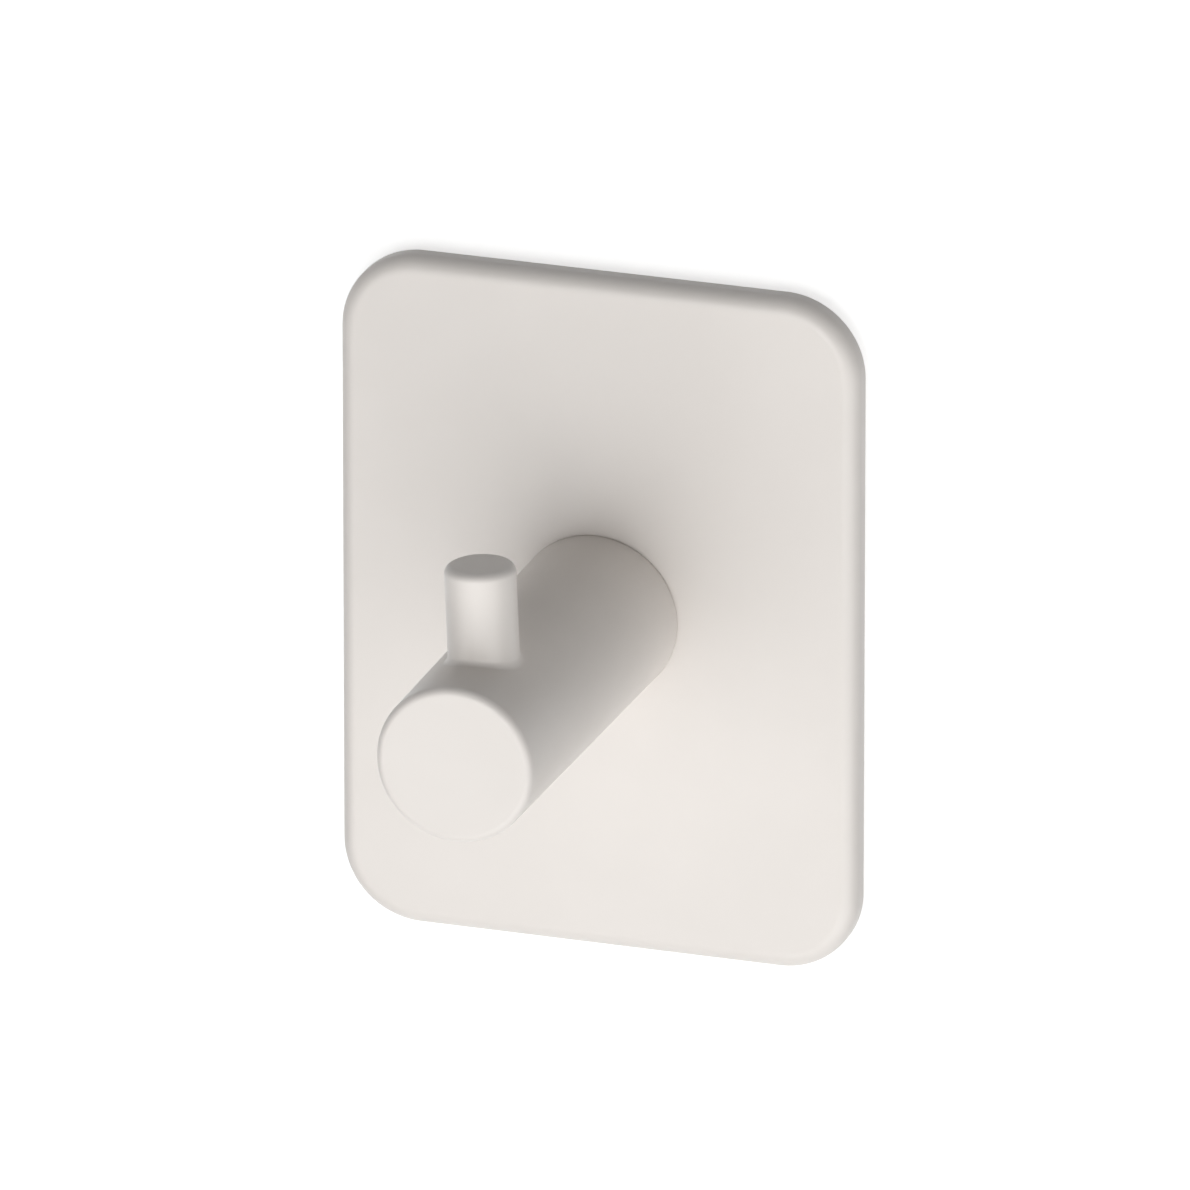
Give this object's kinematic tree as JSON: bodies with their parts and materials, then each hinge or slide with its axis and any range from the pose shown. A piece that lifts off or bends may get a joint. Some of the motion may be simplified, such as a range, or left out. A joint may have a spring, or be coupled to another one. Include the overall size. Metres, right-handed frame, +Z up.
{
  "type": "wall hook",
  "caption": "Small self-adhesive wall hook: a flat plate with rounded corners carries a round peg with a short upright pin near its end, for towels, keys or light clothes.",
  "frame": {"origin": "middle of the adhesive pad's face on the wall, level with the peg's axis", "axes": "+Y into the wall, so the peg points along -Y; +Z up, the way the pin stands; +X to the right seen from the room"},
  "size_m": [0.0382, 0.034, 0.05],
  "materials": {
    "powder_coat": "fine matte powder coat, warm off-white, over steel",
    "zinc_plated_steel": "bright zinc plate",
    "foam_adhesive": "closed-cell foam with a tacky adhesive film on both faces"
  },
  "bodies": {
    "root": {"back_plate": "powder_coat", "peg": "powder_coat", "pin": "powder_coat", "fixing_screw": "zinc_plated_steel", "adhesive_pad": "foam_adhesive"}
  },
  "joints": []
}
